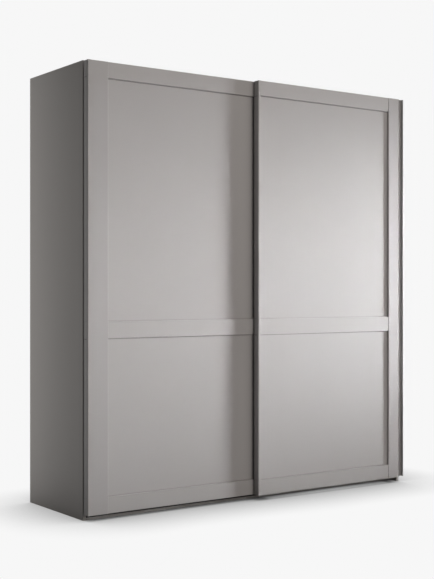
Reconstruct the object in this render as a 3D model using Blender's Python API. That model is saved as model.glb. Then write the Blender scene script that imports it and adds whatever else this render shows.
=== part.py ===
"""Sliding door wardrobe: a carcase with two full-height doors that hang in front of it.

X runs along the front, from left to right. Y runs from the front to the back. Z is up.
The origin is on the floor, below the middle of the wardrobe's outer box.
"""
import math

import bmesh
import bpy
from mathutils import Matrix, Vector

# ---------------------------------------------------------------------------
# Driving dimensions, in metres
# ---------------------------------------------------------------------------

# outer size
WIDTH = 2.000
HEIGHT = 2.170
DEPTH = 0.660

# gaps and small radii
SEAT_GAP = 0.0003            # between pieces that touch
RUNNING_GAP = 0.0006         # between a sliding shoe and its blade
BOARD_EDGE = 0.0010          # rounding of a board's edges
METAL_EDGE = 0.0004          # rounding of a bent metal piece's edges

# carcase boards
SIDE_THICKNESS = 0.018
PARTITION_THICKNESS = 0.018
TOP_THICKNESS = 0.018
BOTTOM_THICKNESS = 0.018
SHELF_THICKNESS = 0.018
PLINTH_THICKNESS = 0.016
PLINTH_HEIGHT = 0.060
BACK_THICKNESS = 0.004
BACK_INSET = 0.008           # from the side panels' rear edge to the back panels' rear face
BACK_END_GAP = 0.004         # from the back panels' ends to the floor and to the top
REAR_PLINTH_SETBACK = 0.002
TRACK_RECESS = 0.072         # from the side panels' top down to the top panel

# doors
DOOR_OVERLAP = 0.060         # where the front door covers the rear door
DOOR_TOP_CLEARANCE = 0.004   # from the doors' top to the side panels' top
DOOR_FLOOR_CLEARANCE = 0.029
DOOR_OPEN_GAP = 0.004        # from the open rear door to the filler strip
SLAB_THICKNESS = 0.027
STILE_RELIEF = 0.012         # how far the stiles stand in front of the slab
RAIL_RELIEF = 0.010          # how far the rails stand in front of the slab
DOOR_SPACING = 0.006         # between the front door's back and the rear door's front
CARCASE_SPACING = 0.012      # between the rear door's back and the carcase's front
OUTER_STILE_WIDTH = 0.110    # rear door
GRIP_STILE_WIDTH = 0.081     # front door, up to the grip channel
MEETING_STRIP_WIDTH = 0.014
TOP_RAIL_WIDTH = 0.077
MIDDLE_RAIL_WIDTH = 0.080
BOTTOM_RAIL_WIDTH = 0.078
MIDDLE_RAIL_CENTRE = 0.8975  # above the floor
STILE_ROUNDING = 0.0035
RAIL_ROUNDING = 0.0015
ROUNDING_STEPS = 4

# grip profile on the front door's right edge
GRIP_WIDTH = 0.032           # from the stile's visible edge to the door's outer edge
GRIP_DEPTH = 0.015           # of the finger channel
GRIP_WALL = 0.002
GRIP_LIP = 0.0025
GRIP_TAIL = 0.034            # depth of the wall that is fixed to the slab's edge
GRIP_BOTTOM_CUT = 0.0035     # the profile ends this far above the door's bottom

# filler strip on the right side
FILLER_THICKNESS = 0.016
FILLER_BEHIND_GRIP = 0.004   # from the grip profile's wall end to the filler's front

# top track
TRACK_BASE = 0.0025
TRACK_FRONT_OVERHANG = 0.005
TRACK_DEPTH = 0.062
RIB_THICKNESS = 0.003
RIB_HEIGHT = 0.0112
REAR_RIB_SETBACK = 0.003     # rear door's rib, centre, behind the carcase's front
RIB_SPACING = 0.028          # front door's rib behind the rear door's rib
STOP_HEIGHT = 0.045
STOP_EDGE = 0.002
STOP_NOSE_CLEARANCE = 0.0005 # from the right stop's nose to the rear door's rib

# hangers and rollers
HANGER_PLATE = 0.0025
HANGER_WIDTH = 0.030
HANGER_INSET = 0.056         # from a door's edge to the hanger's middle
HANGER_DROP = 0.080          # of the leg that is screwed to the door's back
ARM_CLEARANCE = 0.001        # between the front door's arms and the rear door's top
ARM_LEG_DROP = 0.060         # of the arm's rear leg, which holds the axle
ROLLER_RADIUS = 0.0155
ROLLER_GROOVE_RADIUS = 0.012
ROLLER_WIDTH = 0.010
ROLLER_GROOVE_WIDTH = 0.005
ROLLER_SIDE_GAP = 0.0012
AXLE_RADIUS = 0.003
AXLE_HEAD_RADIUS = 0.005
AXLE_HEAD_LENGTH = 0.002
AXLE_PLAY = 0.0003
STOP_PLAY = 0.0008           # from a roller to its stop when the door is shut

# bottom guide rail and the doors' bottom guides
GUIDE_FLANGE = 0.002
GUIDE_BLADE = 0.0015
GUIDE_REACH = 0.0065         # from the carcase's front to the blades' front
GUIDE_WEB_HEIGHT = 0.053     # centre of the web that carries the blades
GUIDE_WEB = 0.002
GUIDE_BLADE_LENGTH = 0.014
GUIDE_TOP = 0.076
GUIDE_END_GAP = 0.004
GUIDE_WIDTH = 0.050
GUIDE_INSET = 0.075          # from a door's edge to the guide's middle
GUIDE_JAW = 0.0012
GUIDE_BRIDGE = 0.003
GUIDE_ARM = 0.0035
GUIDE_ARM_CLEARANCE = 0.005  # between the front door's guide arms and the rear door's bottom
GUIDE_FOOT_HEIGHT = 0.030

# interior
HAT_SPACE = 0.280            # from a shelf up to the top panel
SHELF_FRONT_SETBACK = 0.030
SHELF_SIDE_GAP = 0.001
HOLE_PITCH = 0.032
HOLE_ROWS = 3
HOLE_DEPTH = 0.008
HOLE_EDGE_DISTANCE = 0.060   # from a shelf's front and rear edge to its pins
PIN_RADIUS = 0.0024
PIN_PLAY = 0.0003
PIN_PEG = 0.007
PIN_COLLAR_RADIUS = 0.005
PIN_COLLAR_LENGTH = 0.008
RAIL_TUBE_HEIGHT = 0.030
RAIL_TUBE_WIDTH = 0.015
RAIL_TUBE_WALL = 0.0012
RAIL_DROP = 0.060            # from the shelf's underside to the rail's centre
CUP_BASE = 0.003
CUP_DEPTH = 0.014
CUP_WALL = 0.003

ROUND_STEPS = 32
HOLE_STEPS = 12

# ---------------------------------------------------------------------------
# Places worked out from the driving dimensions
# ---------------------------------------------------------------------------

LEFT = -WIDTH / 2
RIGHT = WIDTH / 2
FRONT = -DEPTH / 2
BACK = DEPTH / 2

DOOR_WIDTH = (WIDTH + DOOR_OVERLAP) / 2
DOOR_THICKNESS = SLAB_THICKNESS + STILE_RELIEF
FRONT_DOOR_FACE = FRONT
FRONT_DOOR_BACK = FRONT_DOOR_FACE + DOOR_THICKNESS
REAR_DOOR_FACE = FRONT_DOOR_BACK + DOOR_SPACING
REAR_DOOR_BACK = REAR_DOOR_FACE + DOOR_THICKNESS
CARCASE_FRONT = REAR_DOOR_BACK + CARCASE_SPACING

DOOR_TOP = HEIGHT - DOOR_TOP_CLEARANCE
DOOR_BOTTOM = DOOR_FLOOR_CLEARANCE

INNER_LEFT = LEFT + SIDE_THICKNESS
INNER_RIGHT = RIGHT - SIDE_THICKNESS
PARTITION_LEFT = -PARTITION_THICKNESS / 2
PARTITION_RIGHT = PARTITION_THICKNESS / 2
BOTTOM_TOP = PLINTH_HEIGHT + BOTTOM_THICKNESS
TOP_TOP = HEIGHT - TRACK_RECESS
TOP_BOTTOM = TOP_TOP - TOP_THICKNESS
SHELF_TOP = TOP_BOTTOM - HAT_SPACE
BACK_FACE = BACK - BACK_INSET - BACK_THICKNESS
BOARD_BACK = BACK_FACE - SEAT_GAP

REAR_RIB_Y = CARCASE_FRONT + REAR_RIB_SETBACK
FRONT_RIB_Y = REAR_RIB_Y + RIB_SPACING
TRACK_BOTTOM = TOP_TOP + SEAT_GAP
RIB_TOP = TRACK_BOTTOM + TRACK_BASE + RIB_HEIGHT
AXLE_Z = RIB_TOP + SEAT_GAP + ROLLER_GROOVE_RADIUS
STOP_FACE = RIGHT - HANGER_INSET + ROLLER_RADIUS + STOP_PLAY
TRACK_FRONT = CARCASE_FRONT - TRACK_FRONT_OVERHANG

GRIP_LEFT = RIGHT - GRIP_WIDTH - GRIP_WALL
FILLER_LEFT = RIGHT - FILLER_THICKNESS
FILLER_FRONT = FRONT + GRIP_TAIL + FILLER_BEHIND_GRIP

# ---------------------------------------------------------------------------
# Materials: name, colour, roughness, metallic
# ---------------------------------------------------------------------------

FINISHES = {
    "front_lacquer": ((0.36, 0.345, 0.33), 0.48, 0.0),
    "carcase_foil": ((0.33, 0.315, 0.30), 0.55, 0.0),
    "inner_foil": ((0.55, 0.52, 0.48), 0.60, 0.0),
    "back_board": ((0.50, 0.47, 0.43), 0.75, 0.0),
    "grip_metal": ((0.34, 0.335, 0.325), 0.42, 0.6),
    "track_metal": ((0.70, 0.70, 0.71), 0.35, 1.0),
    "hanger_steel": ((0.62, 0.63, 0.65), 0.38, 1.0),
    "rail_chrome": ((0.80, 0.80, 0.81), 0.16, 1.0),
    "roller_nylon": ((0.85, 0.84, 0.80), 0.45, 0.0),
    "guide_nylon": ((0.05, 0.05, 0.05), 0.55, 0.0),
    "stop_rubber": ((0.03, 0.03, 0.03), 0.80, 0.0),
}


def finish(piece, finish_name):
    """Give a piece its own Principled material in one of the finishes."""
    colour, roughness, metallic = FINISHES[finish_name]
    material = bpy.data.materials.new(piece.name + "_" + finish_name)
    material.use_nodes = True
    shader = material.node_tree.nodes["Principled BSDF"]
    shader.inputs["Base Color"].default_value = (*colour, 1.0)
    shader.inputs["Roughness"].default_value = roughness
    shader.inputs["Metallic"].default_value = metallic
    piece.data.materials.clear()
    piece.data.materials.append(material)


# ---------------------------------------------------------------------------
# Ways of making a piece
# ---------------------------------------------------------------------------

def add_piece(name, bm, place, finish_name, carrier=None):
    """Turn a bmesh into a named object at a place, carried by an empty where one is given."""
    bmesh.ops.recalc_face_normals(bm, faces=bm.faces)
    mesh = bpy.data.meshes.new(name)
    bm.to_mesh(mesh)
    bm.free()
    piece = bpy.data.objects.new(name, mesh)
    bpy.context.scene.collection.objects.link(piece)
    piece.location = place
    if carrier is not None:
        piece.parent = carrier
        piece.location = Vector(place) - carrier.location
    finish(piece, finish_name)
    return piece


def add_carrier(name, place):
    """An empty that a moving group of pieces is parented to."""
    carrier = bpy.data.objects.new(name, None)
    bpy.context.scene.collection.objects.link(carrier)
    carrier.location = place
    return carrier


def round_edges(piece, radius, steps=2):
    """Round a piece's sharp edges with a Bevel modifier."""
    bevel = piece.modifiers.new("rounded edges", "BEVEL")
    bevel.width = radius
    bevel.segments = steps
    bevel.limit_method = "ANGLE"


def board(name, x_span, y_span, z_span, finish_name, carrier=None, edge=BOARD_EDGE):
    """A flat board between two planes along each axis."""
    spans = (x_span, y_span, z_span)
    centre = Vector([(low + high) / 2 for low, high in spans])
    size = Vector([high - low for low, high in spans])
    bm = bmesh.new()
    bmesh.ops.create_cube(bm, size=1.0, matrix=Matrix.Diagonal((*size, 1.0)))
    piece = add_piece(name, bm, centre, finish_name, carrier)
    if edge > 0:
        round_edges(piece, edge)
    return piece


def extrude_outline(name, outline, axis, length, place, finish_name, carrier=None):
    """A closed outline, drawn square to an axis, extruded along that axis.

    The outline's points are (y, z) for X and (x, y) for Z, counted from the place.
    The piece is centred on the place along the axis.
    """
    step = Vector((axis == "X", 0, axis == "Z")) * length
    bm = bmesh.new()
    corners = []
    for first, second in outline:
        point = {"X": (0, first, second), "Z": (first, second, 0)}[axis]
        corners.append(bm.verts.new(Vector(point) - step / 2))
    face = bm.faces.new(corners)
    raised = bmesh.ops.extrude_face_region(bm, geom=[face])
    top = [item for item in raised["geom"] if isinstance(item, bmesh.types.BMVert)]
    bmesh.ops.translate(bm, verts=top, vec=step)
    return add_piece(name, bm, place, finish_name, carrier)


def turn_profile(name, profile, axis, place, finish_name, carrier=None):
    """A closed profile of (radius, distance along X or Y) points, turned about that axis."""
    direction = Vector((axis == "X", axis == "Y", 0))
    outward = Vector((0, 0, 1))
    bm = bmesh.new()
    ring = [bm.verts.new(outward * radius + direction * along) for radius, along in profile]
    edges = []
    for i, vert in enumerate(ring):
        j = (i + 1) % len(ring)
        if profile[i][0] > 0 or profile[j][0] > 0:
            edges.append(bm.edges.new((vert, ring[j])))
    bmesh.ops.spin(bm, geom=ring + edges, cent=(0, 0, 0), axis=direction,
                   angle=2 * math.pi, steps=ROUND_STEPS, use_merge=True)
    bmesh.ops.remove_doubles(bm, verts=bm.verts, dist=1e-6)
    bmesh.ops.dissolve_degenerate(bm, edges=bm.edges, dist=1e-7)
    piece = add_piece(name, bm, place, finish_name, carrier)
    piece.data.shade_smooth()
    piece.data.set_sharp_from_angle(angle=math.radians(35))
    return piece


def rod_cutter(name, rods, owner):
    """Cut round holes in a piece. Each rod is a centre, an axis, a radius and a length."""
    bm = bmesh.new()
    for centre, axis, radius, length in rods:
        turn = Vector((0, 0, 1)).rotation_difference(Vector(axis)).to_matrix().to_4x4()
        bmesh.ops.create_cone(bm, cap_ends=True, segments=HOLE_STEPS, radius1=radius, radius2=radius,
                              depth=length, matrix=Matrix.Translation(centre) @ turn)
    mesh = bpy.data.meshes.new(name)
    bm.to_mesh(mesh)
    bm.free()
    cutter = bpy.data.objects.new(name, mesh)
    bpy.context.scene.collection.objects.link(cutter)
    cutter.hide_render = True
    cutter.display_type = "WIRE"
    cut = owner.modifiers.new("holes", "BOOLEAN")
    cut.operation = "DIFFERENCE"
    cut.object = cutter


def arc(centre, radius, start, end, steps):
    """Points on an arc between two angles in degrees."""
    points = []
    for step in range(steps + 1):
        angle = math.radians(start + (end - start) * step / steps)
        points.append((centre[0] + radius * math.cos(angle), centre[1] + radius * math.sin(angle)))
    return points


def strip_outline(low, high, thickness, rounding):
    """Section of an applied strip: flat at the back, its two front corners rounded.

    low and high are its two long edges. Its front plane is at 0 and its back plane at thickness.
    """
    outline = [(high, thickness), (low, thickness)]
    outline += arc((low + rounding, rounding), rounding, 180, 270, ROUNDING_STEPS)
    outline += arc((high - rounding, rounding), rounding, 270, 360, ROUNDING_STEPS)
    return outline


def oval_outline(height, width, steps):
    """An upright oval: two straight sides joined by half circles. Points are (y, z)."""
    radius = width / 2
    half_straight = height / 2 - radius
    return arc((0, half_straight), radius, 0, 180, steps) + arc((0, -half_straight), radius, 180, 360, steps)


# ---------------------------------------------------------------------------
# Carcase
# ---------------------------------------------------------------------------

def compartments():
    """The two halves of the inside: name, left face and right face."""
    return (("left", INNER_LEFT, PARTITION_LEFT), ("right", PARTITION_RIGHT, INNER_RIGHT))


def shelf_depth_span():
    return (CARCASE_FRONT + SHELF_FRONT_SETBACK, BOARD_BACK)


def pin_rows():
    """Y of the front and the rear row of pin holes."""
    front, back = shelf_depth_span()
    return (("front", front + HOLE_EDGE_DISTANCE), ("rear", back - HOLE_EDGE_DISTANCE))


def pin_height():
    """Height of the pins that carry a shelf."""
    return SHELF_TOP - SHELF_THICKNESS - SEAT_GAP - PIN_COLLAR_RADIUS


def pin_hole_rods(face_x):
    """Blind holes for shelf pins in the face at face_x."""
    rods = []
    for _, y in pin_rows():
        for row in range(HOLE_ROWS):
            z = pin_height() + (row - HOLE_ROWS // 2) * HOLE_PITCH
            rods.append((Vector((face_x, y, z)), (1, 0, 0), PIN_RADIUS + PIN_PLAY, 2 * HOLE_DEPTH))
    return rods


def build_carcase():
    side_span = (CARCASE_FRONT, BACK)
    board_span = (CARCASE_FRONT, BOARD_BACK)
    between_sides = (INNER_LEFT + SEAT_GAP, INNER_RIGHT - SEAT_GAP)

    left_side = board("left_side_panel", (LEFT, INNER_LEFT), side_span, (0, HEIGHT), "carcase_foil")
    rod_cutter("left_side_pin_holes", pin_hole_rods(INNER_LEFT), left_side)
    right_side = board("right_side_panel", (INNER_RIGHT, RIGHT), side_span, (0, HEIGHT), "carcase_foil")
    rod_cutter("right_side_pin_holes", pin_hole_rods(INNER_RIGHT), right_side)

    board("top_panel", between_sides, board_span, (TOP_BOTTOM, TOP_TOP), "inner_foil")
    board("bottom_panel", between_sides, board_span, (PLINTH_HEIGHT + SEAT_GAP, BOTTOM_TOP), "inner_foil")
    partition = board("centre_partition", (PARTITION_LEFT, PARTITION_RIGHT), board_span,
                      (BOTTOM_TOP + SEAT_GAP, TOP_BOTTOM - SEAT_GAP), "inner_foil")
    rods = pin_hole_rods(PARTITION_LEFT) + pin_hole_rods(PARTITION_RIGHT)
    rod_cutter("partition_pin_holes", rods, partition)

    front_plinth_span = (CARCASE_FRONT, CARCASE_FRONT + PLINTH_THICKNESS)
    rear_plinth_back = BOARD_BACK - REAR_PLINTH_SETBACK
    rear_plinth_span = (rear_plinth_back - PLINTH_THICKNESS, rear_plinth_back)
    board("front_plinth", between_sides, front_plinth_span, (0, PLINTH_HEIGHT), "carcase_foil")
    board("rear_plinth", between_sides, rear_plinth_span, (0, PLINTH_HEIGHT), "inner_foil")

    back_span = (BACK_FACE, BACK_FACE + BACK_THICKNESS)
    back_height = (BACK_END_GAP, HEIGHT - BACK_END_GAP)
    joint = SEAT_GAP / 2
    board("left_back_panel", (between_sides[0], -joint), back_span, back_height, "back_board", edge=0)
    board("right_back_panel", (joint, between_sides[1]), back_span, back_height, "back_board", edge=0)

    board("right_filler_strip", (FILLER_LEFT, RIGHT), (FILLER_FRONT, CARCASE_FRONT - SEAT_GAP),
          (0, HEIGHT), "carcase_foil")


# ---------------------------------------------------------------------------
# Interior
# ---------------------------------------------------------------------------

def build_shelf_pin(name, face_x, inward, y):
    """A turned pin: a peg in the board and a collar that the shelf lies on."""
    profile = [
        (0, inward * PIN_PEG),
        (PIN_RADIUS, inward * PIN_PEG),
        (PIN_RADIUS, -inward * SEAT_GAP),
        (PIN_COLLAR_RADIUS, -inward * SEAT_GAP),
        (PIN_COLLAR_RADIUS, -inward * PIN_COLLAR_LENGTH),
        (0, -inward * PIN_COLLAR_LENGTH),
    ]
    turn_profile(name, profile, "X", (face_x, y, pin_height()), "hanger_steel")


def build_cup_bracket(name, face_x, inward, y, z):
    """A cup screwed to a board's face, which holds one end of the clothes rail."""
    height = RAIL_TUBE_HEIGHT + 2 * (SEAT_GAP + CUP_WALL)
    width = RAIL_TUBE_WIDTH + 2 * (SEAT_GAP + CUP_WALL)
    centre_x = face_x - inward * (SEAT_GAP + CUP_DEPTH / 2)
    cup = extrude_outline(name, oval_outline(height, width, 10), "X", CUP_DEPTH, (centre_x, y, z), "rail_chrome")
    hollow_height = RAIL_TUBE_HEIGHT + 2 * SEAT_GAP
    hollow_width = RAIL_TUBE_WIDTH + 2 * SEAT_GAP
    hollow = extrude_outline(name + "_hollow", oval_outline(hollow_height, hollow_width, 10), "X", CUP_DEPTH,
                             (centre_x - inward * CUP_BASE, y, z), "rail_chrome")
    hollow.hide_render = True
    hollow.display_type = "WIRE"
    cut = cup.modifiers.new("socket", "BOOLEAN")
    cut.operation = "DIFFERENCE"
    cut.object = hollow


def build_clothes_rail(name, left, right, y, z):
    """An oval tube between two cups."""
    end_gap = 2 * SEAT_GAP + CUP_BASE
    length = right - left - 2 * end_gap
    outer = oval_outline(RAIL_TUBE_HEIGHT, RAIL_TUBE_WIDTH, 8)
    inner = oval_outline(RAIL_TUBE_HEIGHT - 2 * RAIL_TUBE_WALL, RAIL_TUBE_WIDTH - 2 * RAIL_TUBE_WALL, 8)
    bm = bmesh.new()
    rings = []
    for x, outline in ((-length / 2, outer), (length / 2, outer), (length / 2, inner), (-length / 2, inner)):
        rings.append([bm.verts.new((x, point[0], point[1])) for point in outline])
    count = len(outer)
    for ring, following in zip(rings, rings[1:] + rings[:1]):
        for i in range(count):
            j = (i + 1) % count
            bm.faces.new((ring[i], ring[j], following[j], following[i]))
    rail = add_piece(name, bm, ((left + right) / 2, y, z), "rail_chrome")
    rail.data.shade_smooth()
    rail.data.set_sharp_from_angle(angle=math.radians(35))


def build_interior():
    shelf_bottom = SHELF_TOP - SHELF_THICKNESS
    front, back = shelf_depth_span()
    rail_y = (front + back) / 2
    rail_z = shelf_bottom - RAIL_DROP
    for side, left, right in compartments():
        board(side + "_shelf", (left + SHELF_SIDE_GAP, right - SHELF_SIDE_GAP), (front, back),
              (shelf_bottom, SHELF_TOP), "inner_foil")
        build_clothes_rail(side + "_clothes_rail", left, right, rail_y, rail_z)
        for wall, face_x, inward in (("outer", left, -1), ("inner", right, 1)):
            if side == "right":
                wall = {"outer": "inner", "inner": "outer"}[wall]
            build_cup_bracket(side + "_rail_" + wall + "_cup", face_x, inward, rail_y, rail_z)
            for row, y in pin_rows():
                build_shelf_pin("_".join((side, "shelf", wall, row, "pin")), face_x, inward, y)


# ---------------------------------------------------------------------------
# Track, stops and guide rail
# ---------------------------------------------------------------------------

def rear_door_travel():
    """The rear door opens until it is just short of the filler strip."""
    return FILLER_LEFT - (LEFT + DOOR_WIDTH) - DOOR_OPEN_GAP


def build_track():
    """An aluminium profile on the top panel, with a running rib for each door."""
    half = STOP_FACE - SEAT_GAP
    front = TRACK_FRONT
    back = front + TRACK_DEPTH
    base_top = TRACK_BASE
    rib_top = TRACK_BASE + RIB_HEIGHT
    outline = [(back, 0), (back, base_top)]
    for rib_y in (FRONT_RIB_Y, REAR_RIB_Y):
        outline += [(rib_y + RIB_THICKNESS / 2, base_top), (rib_y + RIB_THICKNESS / 2, rib_top)]
        outline += [(rib_y - RIB_THICKNESS / 2, rib_top), (rib_y - RIB_THICKNESS / 2, base_top)]
    outline += [(front, base_top), (front, 0)]
    track = extrude_outline("top_track", outline, "X", 2 * half, (0, 0, TRACK_BOTTOM), "track_metal")
    round_edges(track, METAL_EDGE, 1)


def build_stops():
    """A rubber block beyond each end of the track, which the rollers come up against.

    The right block has a nose beside the rear door's rib, where that door's opening ends.
    """
    depth = (TRACK_FRONT, TRACK_FRONT + TRACK_DEPTH)
    height = (TOP_TOP + SEAT_GAP, TOP_TOP + SEAT_GAP + STOP_HEIGHT)
    board("left_track_stop", (INNER_LEFT + SEAT_GAP, -STOP_FACE), depth, height, "stop_rubber", edge=STOP_EDGE)
    right_stop = board("right_track_stop", (STOP_FACE, INNER_RIGHT - SEAT_GAP), depth, height,
                       "stop_rubber", edge=STOP_EDGE)

    open_roller = LEFT + DOOR_WIDTH - HANGER_INSET + rear_door_travel()
    nose_tip = open_roller + ROLLER_RADIUS + STOP_PLAY
    nose_depth = (REAR_RIB_Y - ROLLER_WIDTH / 2, REAR_RIB_Y - RIB_THICKNESS / 2 - STOP_NOSE_CLEARANCE)
    nose_height = (TRACK_BOTTOM + TRACK_BASE + SEAT_GAP, TRACK_BOTTOM + STOP_HEIGHT / 2)
    nose = board("right_stop_nose", (nose_tip, STOP_FACE + STOP_EDGE * 2), nose_depth, nose_height,
                 "stop_rubber", edge=0)
    nose.hide_render = True
    nose.display_type = "WIRE"
    join = right_stop.modifiers.new("nose", "BOOLEAN")
    join.operation = "UNION"
    join.object = nose


def build_guide_rail():
    """An aluminium rail on the bottom panel's front edge, with a blade up and a blade down."""
    flange_back = CARCASE_FRONT - SEAT_GAP
    flange_front = flange_back - GUIDE_FLANGE
    blade_front = CARCASE_FRONT - GUIDE_REACH
    blade_back = blade_front + GUIDE_BLADE
    web_low = GUIDE_WEB_HEIGHT - GUIDE_WEB / 2
    web_high = GUIDE_WEB_HEIGHT + GUIDE_WEB / 2
    outline = [
        (flange_back, web_low),
        (flange_back, GUIDE_TOP),
        (flange_front, GUIDE_TOP),
        (flange_front, web_high),
        (blade_back, web_high),
        (blade_back, web_high + GUIDE_BLADE_LENGTH),
        (blade_front, web_high + GUIDE_BLADE_LENGTH),
        (blade_front, web_low - GUIDE_BLADE_LENGTH),
        (blade_back, web_low - GUIDE_BLADE_LENGTH),
        (blade_back, web_low),
    ]
    length = INNER_RIGHT - INNER_LEFT - 2 * GUIDE_END_GAP
    extrude_outline("bottom_guide_rail", outline, "X", length, (0, 0, 0), "track_metal")


# ---------------------------------------------------------------------------
# Doors
# ---------------------------------------------------------------------------

def build_strip(name, axis, low, high, span, face, relief, rounding, carrier):
    """A strip glued to a door's slab. low and high are its long edges, span its two ends."""
    outline = strip_outline(low, high, relief - SEAT_GAP, rounding)
    middle = (span[0] + span[1]) / 2
    length = span[1] - span[0]
    if axis == "Z":
        place = (0, face, middle)
        points = outline
    else:
        place = (middle, face, 0)
        points = [(depth, along) for along, depth in outline]
    return extrude_outline(name, points, axis, length, place, "front_lacquer", carrier)


def build_door_leaf(door, left, right, face, stile, meeting, carrier):
    """The slab and its strips. stile and meeting are the spans of its two upright strips."""
    slab_face = face + STILE_RELIEF
    rail_face = slab_face - RAIL_RELIEF
    full = (DOOR_BOTTOM, DOOR_TOP)
    board(door + "_slab", (left, right), (slab_face, slab_face + SLAB_THICKNESS), full,
          "front_lacquer", carrier)
    stile_name = door + ("_left_stile" if stile[0] < meeting[0] else "_right_stile")
    build_strip(stile_name, "Z", *stile, full, face, STILE_RELIEF, STILE_ROUNDING, carrier)
    build_strip(door + "_meeting_strip", "Z", *meeting, full, rail_face, RAIL_RELIEF, RAIL_ROUNDING, carrier)
    rail_left = min(stile[1], meeting[1]) + SEAT_GAP
    rail_right = max(stile[0], meeting[0]) - SEAT_GAP
    rails = (
        ("_top_rail", DOOR_TOP - TOP_RAIL_WIDTH, DOOR_TOP),
        ("_middle_rail", MIDDLE_RAIL_CENTRE - MIDDLE_RAIL_WIDTH / 2, MIDDLE_RAIL_CENTRE + MIDDLE_RAIL_WIDTH / 2),
        ("_bottom_rail", DOOR_BOTTOM, DOOR_BOTTOM + BOTTOM_RAIL_WIDTH),
    )
    for suffix, low, high in rails:
        build_strip(door + suffix, "X", low, high, (rail_left, rail_right), rail_face, RAIL_RELIEF,
                    RAIL_ROUNDING, carrier)


def build_roller(name, centre, carrier):
    """A nylon roller whose groove runs on a rib of the track. Its origin is on its axle."""
    half = ROLLER_WIDTH / 2
    groove = ROLLER_GROOVE_WIDTH / 2
    bore = AXLE_RADIUS + AXLE_PLAY
    chamfer = 0.001
    profile = [
        (bore, -half),
        (ROLLER_RADIUS - chamfer, -half),
        (ROLLER_RADIUS, -half + chamfer),
        (ROLLER_RADIUS, -groove - chamfer),
        (ROLLER_GROOVE_RADIUS, -groove + chamfer / 2),
        (ROLLER_GROOVE_RADIUS, groove - chamfer / 2),
        (ROLLER_RADIUS, groove + chamfer),
        (ROLLER_RADIUS, half - chamfer),
        (ROLLER_RADIUS - chamfer, half),
        (bore, half),
    ]
    turn_profile(name, profile, "Y", centre, "roller_nylon", carrier)


def build_axle(name, plate_front, roller_back, x, carrier):
    """A pin held in the hanger's plate, with a head behind the roller. Its origin is on its axis."""
    tail = plate_front + SEAT_GAP
    shank_end = roller_back + SEAT_GAP
    profile = [
        (0, 0),
        (AXLE_RADIUS, 0),
        (AXLE_RADIUS, shank_end - tail),
        (AXLE_HEAD_RADIUS, shank_end - tail),
        (AXLE_HEAD_RADIUS, shank_end - tail + AXLE_HEAD_LENGTH),
        (0, shank_end - tail + AXLE_HEAD_LENGTH),
    ]
    turn_profile(name, profile, "Y", (x, tail, AXLE_Z), "hanger_steel", carrier)


def build_rear_hanger(name, x, carrier):
    """A flat plate screwed to the rear door's back. The axle stands on its rear face."""
    front = REAR_DOOR_BACK + SEAT_GAP
    plate = board(name, (x - HANGER_WIDTH / 2, x + HANGER_WIDTH / 2), (front, front + HANGER_PLATE),
                  (DOOR_TOP - HANGER_DROP, DOOR_TOP - ARM_CLEARANCE), "hanger_steel", carrier, METAL_EDGE)
    return plate, front


def build_front_hanger(name, x, carrier):
    """A bent plate from the front door's back, over the rear door's top, down to the track."""
    front = FRONT_DOOR_BACK + SEAT_GAP
    low_arm = DOOR_TOP + ARM_CLEARANCE
    high_arm = low_arm + HANGER_PLATE
    leg_back = FRONT_RIB_Y - ROLLER_WIDTH / 2 - ROLLER_SIDE_GAP
    leg_front = leg_back - HANGER_PLATE
    outline = [
        (front, DOOR_TOP - HANGER_DROP),
        (front, high_arm),
        (leg_back, high_arm),
        (leg_back, high_arm - ARM_LEG_DROP),
        (leg_front, high_arm - ARM_LEG_DROP),
        (leg_front, low_arm),
        (front + HANGER_PLATE, low_arm),
        (front + HANGER_PLATE, DOOR_TOP - HANGER_DROP),
    ]
    plate = extrude_outline(name, outline, "X", HANGER_WIDTH, (x, 0, 0), "hanger_steel", carrier)
    return plate, leg_front


def build_running_gear(door, xs, rib_y, make_hanger, carrier):
    """Two hangers with their axles and rollers."""
    for side, x in zip(("left", "right"), xs):
        plate, plate_front = make_hanger(door + "_" + side + "_hanger", x, carrier)
        rod = (Vector((x, plate_front, AXLE_Z)), (0, 1, 0), AXLE_RADIUS + AXLE_PLAY, 4 * HANGER_PLATE)
        rod_cutter(door + "_" + side + "_axle_hole", [rod], plate)
        build_roller(door + "_" + side + "_roller", (x, rib_y, AXLE_Z), carrier)
        build_axle(door + "_" + side + "_axle", plate_front, rib_y + ROLLER_WIDTH / 2, x, carrier)


def jaw_spans():
    """Y spans of a guide's front and rear jaw, on both sides of a blade."""
    blade_front = CARCASE_FRONT - GUIDE_REACH
    blade_back = blade_front + GUIDE_BLADE
    front_jaw = (blade_front - RUNNING_GAP - GUIDE_JAW, blade_front - RUNNING_GAP)
    rear_jaw = (blade_back + RUNNING_GAP, blade_back + RUNNING_GAP + GUIDE_JAW)
    return front_jaw, rear_jaw


def build_rear_guide(name, x, carrier):
    """A nylon guide on the rear door's back that straddles the blade that points up."""
    front_jaw, rear_jaw = jaw_spans()
    back = REAR_DOOR_BACK + SEAT_GAP
    blade_top = GUIDE_WEB_HEIGHT + GUIDE_WEB / 2 + GUIDE_BLADE_LENGTH
    low = GUIDE_WEB_HEIGHT + GUIDE_WEB / 2 + 2 * RUNNING_GAP
    bridge_low = blade_top + RUNNING_GAP
    high = bridge_low + GUIDE_BRIDGE
    outline = [
        (back, low),
        (back, high),
        (rear_jaw[1], high),
        (rear_jaw[1], low),
        (rear_jaw[0], low),
        (rear_jaw[0], bridge_low),
        (front_jaw[1], bridge_low),
        (front_jaw[1], low),
    ]
    extrude_outline(name, outline, "X", GUIDE_WIDTH, (x, 0, 0), "guide_nylon", carrier)


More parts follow.
